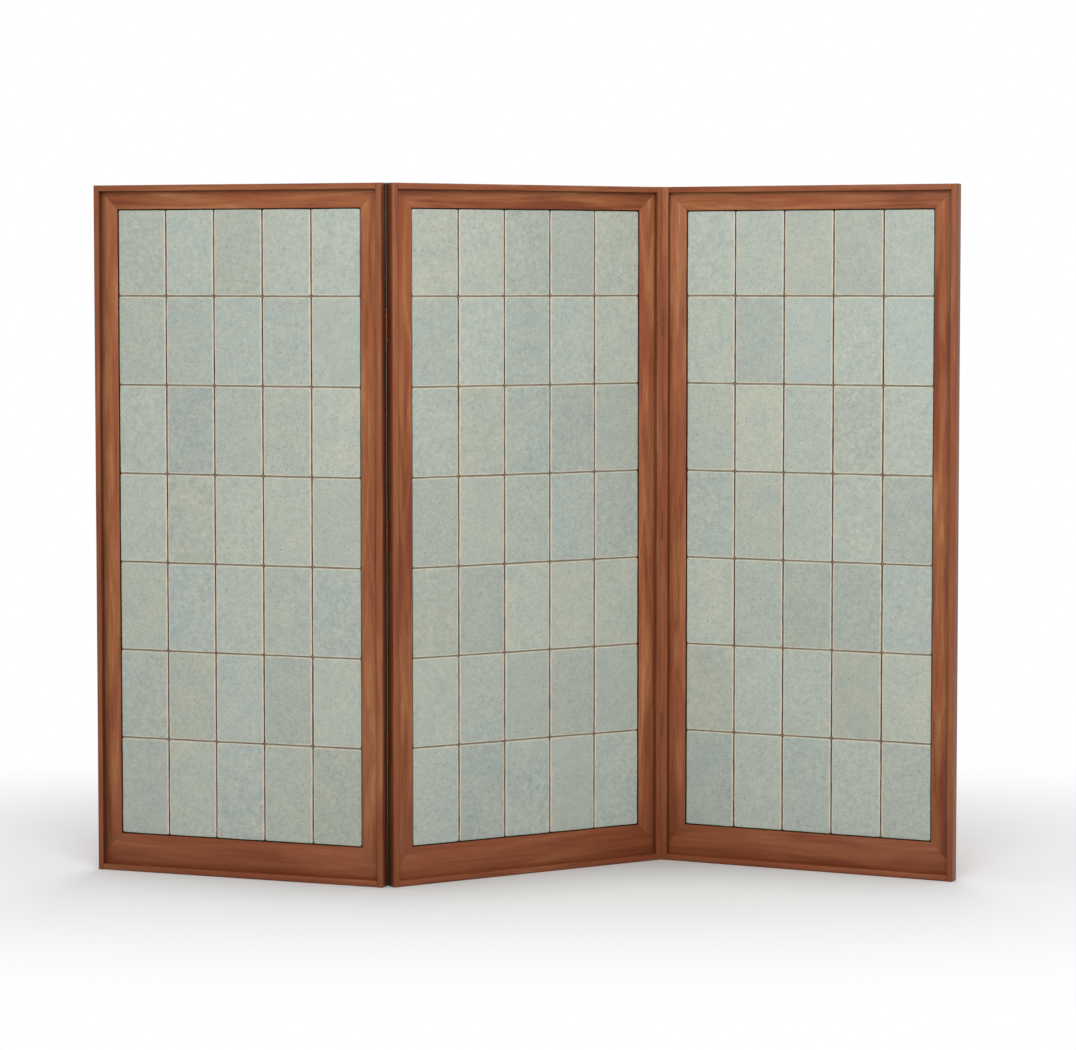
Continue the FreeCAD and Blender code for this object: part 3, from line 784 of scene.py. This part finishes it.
def new_finish(name):
    """A new material and the shade that fills it."""
    material = bpy.data.materials.new(name)
    material.use_nodes = True
    return material, Shade(material.node_tree)


def object_grain(shade):
    """Upright grain for pieces that keep no grain of their own."""
    own = shade.node("ShaderNodeTexCoord", output="Object")
    return shade.node("ShaderNodeMapping", {"Vector": own, "Rotation": (0, math.pi / 2, 0)})


def wood_finish(name, wood, depth):
    """Oiled wood: bands, red streaks and pores, darker by a share, near the floor and in painted shade.
    """
    material, shade = new_finish(name)
    grain = shade.attribute("grain")
    figure = shade.noise(grain, (1.8, 9, 9))
    bands = shade.noise(grain, (3.4, 36, 36), detail=3.0, rough=0.55, bend=0.7)
    streaks = shade.noise(grain, (7.0, 130, 130), detail=4.0, rough=0.6, bend=0.4)
    blush = shade.noise(grain, (2.6, 27, 27), bend=0.6)
    fibres = shade.noise(grain, (24, 900, 900))
    pores = shade.rise(shade.noise(grain, (34, 1500, 1500), detail=1.0), 0.62, 0.72)
    tone = 0.5 + (figure - 0.5) * 0.75 + (bands - 0.5) * 1.5 + (streaks - 0.5) * 0.8
    ground = shade.mix(shade.rise(tone, 0.12, 0.55), wood.dark, wood.middle)
    tint = shade.mix(shade.rise(tone, 0.48, 0.95), ground, wood.light)
    tint = shade.mix(shade.rise(blush, 0.46, 0.7) * 0.5, tint, wood.red)
    tint = shade.mix((fibres - 0.5) * 0.5 + 0.25 + pores * 0.4, tint, wood.dark)
    height = shade.parts(shade.node("ShaderNodeTexCoord", output="Object"))[Z]
    tint = shade.mix(shade.rise(height, 0.0, FOOT_HEIGHT, FOOT_DEPTH, depth), tint, wood.dark)
    # Painted shade marked on the mesh: hinge grooves, lips' inner corners, beside the lips and beside
    # the tiles
    tint = shade.mix(shade.attribute("stain", "Fac"), tint, wood.stain)
    shade.surface(Base_Color=tint, Roughness=0.5 + (streaks - 0.5) * 0.3 + pores * 0.12,
                  Specular_IOR_Level=0.3,
                  Normal=shade.bump(0.6 * fibres + 0.6 * streaks - 0.5 * pores, 0.00025))
    return material


def veneer_finish(name, wood, grain_of):
    """Plain unfinished veneer: soft bands and fine fibres along the grain."""
    material, shade = new_finish(name)
    grain = grain_of(shade)
    bands = shade.noise(grain, (0.5, 40, 40), detail=4.0, rough=0.6, bend=0.5)
    fibres = shade.noise(grain, (20, 800, 800))
    tint = shade.mix(shade.rise(bands, 0.2, 0.75), wood.board_dark, wood.board_light)
    tint = shade.mix((fibres - 0.3) * 0.5, tint, wood.board_dark)
    shade.surface(Base_Color=tint, Roughness=0.62 + (fibres - 0.5) * 0.2, Specular_IOR_Level=0.3,
                  Normal=shade.bump(fibres, 0.0002))
    return material


def glaze_finish(tiles):
    """Satin glaze on handmade tiles: mottled, specked with iron and broken to pale clay at the rims."""
    material, shade = new_finish("celadon_glaze")
    spot = shade.attribute("glaze_place")
    hue, depth, specking = shade.parts(shade.attribute("glaze_tone"))
    rim = shade.attribute("glaze_rim", "Fac")
    clouds = shade.noise(spot, (17, 17, 17), detail=3.0, rough=0.55, bend=0.4)
    mottle = shade.noise(spot, (75, 75, 75), detail=4.0, rough=0.6)
    grit = shade.noise(spot, (290, 290, 290), rough=0.6)
    warmth = 0.5 + (hue - 0.5) * 0.42 + (clouds - 0.5) * 0.85
    tint = shade.mix(shade.rise(warmth, 0.05, 0.5), tiles.blue, tiles.green)
    tint = shade.mix(shade.rise(warmth, 0.5, 0.95), tint, tiles.sand)
    level = 0.905 + (depth - 0.5) * 0.128 + (mottle - 0.5) * (0.25 + specking * 0.38)
    level = level + (clouds - 0.5) * 0.14 + (grit - 0.5) * 0.6
    grey = shade.node("ShaderNodeCombineXYZ", {0: level, 1: level, 2: level})
    tint = shade.mix(1.0, tint, grey, "MULTIPLY")
    fine, coarse = (scatter(shade, spot, specking, *specks) for specks in SPECKS)
    specks = coarse.math("MAXIMUM", coarse, fine)
    tint = shade.mix(specks * 0.7, tint, tiles.speck)
    worn = shade.noise(spot, (60, 60, 60))
    bare = rim * shade.rise(worn, 0.3, 0.6, 0.45, 1.0)
    tint = shade.mix(bare, tint, tiles.rim)
    shade.surface(Base_Color=tint, Roughness=0.40 + (mottle - 0.5) * 0.25 + bare * 0.25,
                  Normal=shade.bump(clouds * 0.7 + mottle * 0.25 - specks * 0.15, 0.0006))
    return material


def scatter(shade, spot, specking, per_metre, radius, share):
    """Round specks in a share of the glaze's cells, more of them on some tiles."""
    scaled = shade.node("ShaderNodeVectorMath", {0: spot, "Scale": per_metre}, operation="SCALE")
    cells = shade.node("ShaderNodeTexVoronoi", {"Vector": scaled, "Scale": 1.0})
    chance = shade.parts(Value(shade, cells.socket.node.outputs["Color"]))[0]
    near = shade.rise(cells, radius, radius * 0.45)
    kept = shade.rise(chance - specking * 0.15, share - 0.15, share + 0.1)
    return near * kept


def grout_finish(panel, tiles):
    """Sandy brown grout, stained in patches, with painted light: paler in level joints, lighter at
    crossings.
    """
    material, shade = new_finish(f"{panel.body}_grout")
    own = shade.node("ShaderNodeMapping", {"Vector": shade.node("ShaderNodeTexCoord", output="Object"),
                                           "Location": panel.foot, "Rotation": (0, 0, panel.turn)},
                     vector_type="TEXTURE")
    parts = shade.parts(own)
    x, z = parts[X], parts[Z]
    rows = panel.solids(panel.columns[0])
    joint = (rows[1][0].z + rows[0][1].z) / 2
    row_pitch = rows[2][0].z - rows[1][0].z
    first, second = (panel.box(node) for node in panel.columns[:2])
    beside = (first[1].x + second[0].x) / 2
    column_pitch = second[0].x - first[0].x
    off_upright = x.math("PINGPONG", x - beside, column_pitch / 2)
    off_level = z.math("PINGPONG", z - joint, row_pitch / 2)
    # Painted light where joints cross
    painted_crossing_light = shade.rise(off_upright, *CROSSING) * shade.rise(off_level, *CROSSING)
    # Painted light in level joints
    painted_level_light = shade.rise(off_level, *LEVEL_JOINT)
    patches = shade.noise(own, (22, 22, 22), detail=3.0)
    sand = shade.noise(own, (900, 900, 900))
    tint = shade.mix(shade.rise(patches, 0.35, 0.68), tiles.grout_dark, tiles.grout_light)
    tint = shade.mix(painted_level_light * 0.55, tint, tiles.grout_pale)
    tint = shade.mix(painted_crossing_light * 0.8, tint, tiles.grout_warm)
    tint = shade.mix((sand - 0.4) * 0.6, tint, tiles.grout_dark)
    shade.surface(Base_Color=tint, Roughness=0.85 + (sand - 0.5) * 0.2, Normal=shade.bump(sand, 0.0004))
    return material


def bronze_finish(metal):
    """Dark bronze, its patina worn in patches."""
    material, shade = new_finish("aged_bronze")
    own = shade.node("ShaderNodeTexCoord", output="Object")
    patches = shade.noise(own, (120, 120, 60), detail=4.0, rough=0.6)
    grit = shade.noise(own, (1400, 1400, 1400))
    worn = shade.rise(patches, 0.48, 0.72)
    tint = shade.mix(worn, metal.dark, metal.bright)
    shade.surface(Base_Color=tint, Metallic=0.75 + worn * 0.2,
                  Roughness=0.55 - worn * 0.18 + (grit - 0.5) * 0.1, Normal=shade.bump(grit, 0.00008))
    return material


def dress_node(node, finish):
    """Gives a CAD node that stays in view its finish."""
    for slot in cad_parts[node].material_slots:
        slot.material = finish


# The pieces

class SCREEN_OT_edge_strips(bpy.types.Operator):
    """Model the raised lips round the panels, with mortises for the hinges"""

    bl_idname = "screen.edge_strips"
    bl_label = "Edge strips"

    def execute(self, context):
        wood = context.scene.screen_wood
        finish = wood_finish("oiled_lip_wood", wood, wood.lip_depth)
        for panel in PANELS:
            for side in BOARDS:
                node = panel.node(f"{side}_edge")
                low, high = panel.box(node)
                along = Z if side in ("left", "right") else X
                inner = side_levels(high, low)[side]
                # Painted shade on the lip's inner side, weaker at its front
                share = LIP_SHARES[side] * wood.corner_stain * (HINGED_LIP if node in LEAVES else 1)
                painted_shades = [(INWARD[side], LIP_FRONT * share, share)]
                pins = None
                if node in FRONT_HINGED:
                    low.y -= wood.pin_reach
                    low.x -= wood.pin_reach if side == "left" else 0
                    high.x += wood.pin_reach if side == "right" else 0
                if node in LEAVES:
                    # Painted shade in the hinge groove, growing towards the back
                    painted_shades.append((-INWARD[side], JOINT_FRONT * wood.joint_stain, wood.joint_stain))
                    pins = (low.x if side == "left" else high.x,
                            low.y if node in FRONT_HINGED else high.y)
                strip = edge_strip(f"{node}_lip", low, high, along, inner, pins, wood)
                if node in LEAVES:
                    cut_away(strip, mortises(*LEAVES[node], low, high, wood))
                stain(strip, low.y, high.y, painted_shades)
                lay_grain(strip, along, node)
                smooth(strip)
                hand_over(strip, panel, finish, "frame_wood", node)
        return {"FINISHED"}


class SCREEN_OT_face_frames(bpy.types.Operator):
    """Model the flat mitred stiles and rails round the tiles, and finish the mitres' tongues"""

    bl_idname = "screen.face_frames"
    bl_label = "Face frames"

    def execute(self, context):
        wood = context.scene.screen_wood
        finish = wood_finish("oiled_frame_wood", wood, 0.0)
        tongue = veneer_finish("tongue_wood", wood, object_grain)
        for panel in PANELS:
            boxes = {side: panel.box(panel.node(board)) for side, board in BOARDS.items()}
            inner = {side: side_levels(high, low)[side] for side, (low, high) in boxes.items()}
            backing = panel.box(panel.node("backing_board"))
            tile_face = panel.box(panel.columns[0])[0].y
            for side, (low, high) in boxes.items():
                node = panel.node(BOARDS[side])
                along, across = (Z, X) if side in ("left", "right") else (X, Z)
                seat = (side_levels(*backing)[side], backing[0].y)
                board = face_board(f"{node}_board", low, high, along, inner[side], seat,
                                   mitre_cuts(side, inner), wood)
                # Painted shade on the board's edge beside the tiles, darkest at the back
                share = FIELD_SHARES[side] * wood.field_stain
                stain(board, low.y, tile_face, [(INWARD[side], FIELD_FRONT * share, share)])
                # Painted shade on the board's front beside its lip, weak on hinged sides
                share = CREASE_SHARES[side] * wood.crease_stain
                if panel.node(f"{side}_edge") in LEAVES:
                    share *= HINGED_CREASE
                crease(board, across, side_levels(low, high)[side], wood.crease_width, share)
                lay_grain(board, along, node)
                smooth(board)
                hand_over(board, panel, finish, "frame_wood", node)
            dress_node(panel.node("mitre_tongues"), tongue)
        return {"FINISHED"}


class SCREEN_OT_tile_columns(bpy.types.Operator):
    """Model the handmade tiles, column by column"""

    bl_idname = "screen.tile_columns"
    bl_label = "Tile columns"

    def execute(self, context):
        tiles = context.scene.screen_tiles
        noise.seed_set(NOISE_SEED)
        finish = glaze_finish(tiles)
        low, high = LEFT.solids(LEFT.columns[0])[1]
        size = high - low
        blank = tile_blank(tiles, *(size[axis] for axis in (X, Z, Y)))
        for panel in PANELS:
            field = (panel.box(panel.columns[0])[0], panel.box(panel.columns[-1])[1])
            for node in panel.columns:
                laid = [lay_tile(blank, size, *box, field, tiles, f"{node} {row}")
                        for row, box in enumerate(panel.solids(node))]
                column = join(f"{node}_glazed", laid)
                hand_over(column, panel, finish, "tile_glaze", node)
        bpy.data.objects.remove(blank)
        return {"FINISHED"}


class SCREEN_OT_grout(bpy.types.Operator):
    """Finish the grouted beds that the tiles lie on"""

    bl_idname = "screen.grout"
    bl_label = "Grout"

    def execute(self, context):
        for panel in PANELS:
            dress_node(panel.node("tile_bed"), grout_finish(panel, context.scene.screen_tiles))
        return {"FINISHED"}


class SCREEN_OT_backing_boards(bpy.types.Operator):
    """Model the backing boards and the brads round their edges"""

    bl_idname = "screen.backing_boards"
    bl_label = "Backing boards"

    def execute(self, context):
        wood = context.scene.screen_wood
        finish = veneer_finish("board_veneer", wood, lambda shade: shade.attribute("grain"))
        bronze = bronze_finish(context.scene.screen_metal)
        brad = brad_head(wood.brad_radius)
        for panel in PANELS:
            node = panel.node("backing_board")
            low, high = panel.box(node)
            board = block(f"{node}_veneered", low, high)
            with editing(board):
                ease(board, wood.arris)
            lay_grain(board, Z, node)
            smooth(board)
            hand_over(board, panel, finish, "backing_wood", node)
            brads = []
            for spot in brad_places(low, high, wood):
                made = twin(brad, "brad")
                made.data.transform(Matrix.Translation(spot))
                brads.append(made)
            hand_over(join(f"{node}_brads", brads), panel, bronze, "hinge_metal")
        bpy.data.objects.remove(brad)
        return {"FINISHED"}


class SCREEN_OT_hinges(bpy.types.Operator):
    """Finish the hinge leaves and pins, and model their slotted screws"""

    bl_idname = "screen.hinges"
    bl_label = "Hinges"

    def execute(self, context):
        metal = context.scene.screen_metal
        bronze = bronze_finish(metal)
        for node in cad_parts:
            if "hinge" in node and not node.endswith("screws"):
                dress_node(node, bronze)
        for panel in PANELS:
            node = panel.node("hinge_screws")
            places = panel.solids(node)
            low, high = places[0]
            head = (high.z - low.z) / 2
            screw = slotted_screw(metal, head, head / 2, high.x - low.x)
            screws = []
            for index, (low, high) in enumerate(places):
                made = twin(screw, "screw")
                turned = random.Random(f"{node} {index}").uniform(0, math.pi)
                middle = (low + high) / 2
                inwards = 0 if middle.x < 0 else math.pi
                seat = Vector((high.x if inwards else low.x, middle.y, middle.z))
                made.data.transform(Matrix.Translation(seat) @ Matrix.Rotation(inwards, 4, "Z")
                                    @ Matrix.Rotation(turned, 4, "X"))
                screws.append(made)
            bpy.data.objects.remove(screw)
            hand_over(join(f"{node}_slotted", screws), panel, bronze, "hinge_metal", node)
        return {"FINISHED"}


# The studio

def seen_ray(shade):
    """1 for rays by which the camera sees the stage, also in a gloss or through glass."""
    path = shade.node("ShaderNodeLightPath").socket.node
    camera, glossy, through = (Value(shade, path.outputs[f"Is {name} Ray"])
                               for name in ("Camera", "Glossy", "Transmission"))
    return shade.node("ShaderNodeMath", {0: camera + glossy, 1: through}, use_clamp=True)


def floor_finish(studio):
    """A pale floor that shows the shadow near the screen, deepened by painted contact shade, and turns
    white further out.
    """
    material, shade = new_finish("studio_floor")
    own = shade.node("ShaderNodeTexCoord", output="Object")
    drawn_in = shade.node("ShaderNodeMapping", {"Vector": own, "Location": FLOOR_OFFSET,
                                                "Scale": FLOOR_STRETCH})
    away = shade.node("ShaderNodeVectorMath", {0: drawn_in}, output="Value", operation="LENGTH")
    fade = shade.rise(away, studio.fade_start, studio.fade_end) * seen_ray(shade)
    lit, dark = (shade.node("ShaderNodeBsdfDiffuse", {"Color": (*tint, 1.0)})
                 for tint in (studio.floor, BLACK))
    # Painted shade: ambient occlusion mixes black into the floor near the screen
    open_share = shade.node("ShaderNodeAmbientOcclusion", {"Distance": studio.contact_reach},
                            output="AO", samples=CONTACT_SAMPLES)
    painted_contact_shade = (1 - open_share) * studio.contact_shade
    lit = shade.node("ShaderNodeMixShader", {0: painted_contact_shade, 1: lit, 2: dark})
    glow = shade.node("ShaderNodeEmission", {"Color": WHITE, "Strength": 1.0})
    shown = shade.node("ShaderNodeMixShader", {0: fade, 1: lit, 2: glow})
    shade.node("ShaderNodeOutputMaterial", {"Surface": shown})
    return material


def light_world(world, level):
    """Even light from all round, which the camera sees as white."""
    world.use_nodes = True
    shade = Shade(world.node_tree)
    even, shown = (shade.node("ShaderNodeBackground", {"Color": WHITE, "Strength": strength})
                   for strength in (level, 1.0))
    mixed = shade.node("ShaderNodeMixShader", {0: seen_ray(shade), 1: even, 2: shown})
    shade.node("ShaderNodeOutputWorld", {"Surface": mixed})


def hang_lamp(name, spot, aim, power, size):
    """A square soft box turned to a point."""
    turn = (Vector(aim) - Vector(spot)).to_track_quat("-Z", "Y").to_euler()
    deselect()
    bpy.ops.object.light_add(type="AREA", location=spot, rotation=turn)
    lamp = bpy.context.object
    lamp.name = name
    lamp.data.energy = power
    lamp.data.size = size


class SCREEN_OT_studio(bpy.types.Operator):
    """Set up the floor, the light and the camera"""

    bl_idname = "screen.studio"
    bl_label = "Studio"

    def execute(self, context):
        studio = context.scene.screen_studio
        floor = disc(studio.floor_radius, FLOOR_SIDES)
        floor.name = "studio_floor"
        floor.data.materials.append(floor_finish(studio))
        context.scene.world = bpy.data.worlds.new("studio_world")
        light_world(context.scene.world, studio.ambient)
        hang_lamp("key_light", studio.key, studio.aim, studio.key_power, studio.key_size)
        hang_lamp("back_light", studio.back, studio.aim, studio.back_power, studio.back_size)
        bpy.ops.object.camera_add(location=studio.camera, rotation=(math.pi / 2 - studio.tilt, 0, 0))
        camera = context.object
        camera.name = "studio_camera"
        camera.data.lens = studio.lens
        camera.data.shift_y = studio.shift
        context.scene.camera = camera
        context.scene.view_settings.view_transform = "Standard"
        return {"FINISHED"}


STEPS = (SCREEN_OT_edge_strips, SCREEN_OT_face_frames, SCREEN_OT_tile_columns, SCREEN_OT_grout,
         SCREEN_OT_backing_boards, SCREEN_OT_hinges, SCREEN_OT_studio)


class SCREEN_PT_sidebar(bpy.types.Panel):
    """Lists the steps that dress the screen"""

    bl_idname = "SCREEN_PT_sidebar"
    bl_label = "Tiled folding screen"
    bl_space_type = "VIEW_3D"
    bl_region_type = "UI"
    bl_category = "Screen"

    def draw(self, context):
        for step in STEPS:
            self.layout.operator(step.bl_idname)
        for name, group in SETTINGS.items():
            column = self.layout.column(heading=group.__name__)
            for prop in group.__annotations__:
                column.prop(getattr(context.scene, name), prop)


CLASSES = (*SETTINGS.values(), *STEPS, SCREEN_PT_sidebar)


def register():
    """Makes the settings, steps and sidebar known to Blender."""
    for made in CLASSES:
        bpy.utils.register_class(made)
    for name, group in SETTINGS.items():
        setattr(bpy.types.Scene, name, PointerProperty(type=group))


def unregister():
    """Takes the settings, steps and sidebar out of Blender again."""
    for name in SETTINGS:
        delattr(bpy.types.Scene, name)
    for made in reversed(CLASSES):
        bpy.utils.unregister_class(made)


def main():
    """Dresses the screen step by step."""
    register()
    bpy.ops.screen.edge_strips()
    bpy.ops.screen.face_frames()
    bpy.ops.screen.tile_columns()
    bpy.ops.screen.grout()
    bpy.ops.screen.backing_boards()
    bpy.ops.screen.hinges()
    bpy.ops.screen.studio()


if __name__ == "__main__":
    main()
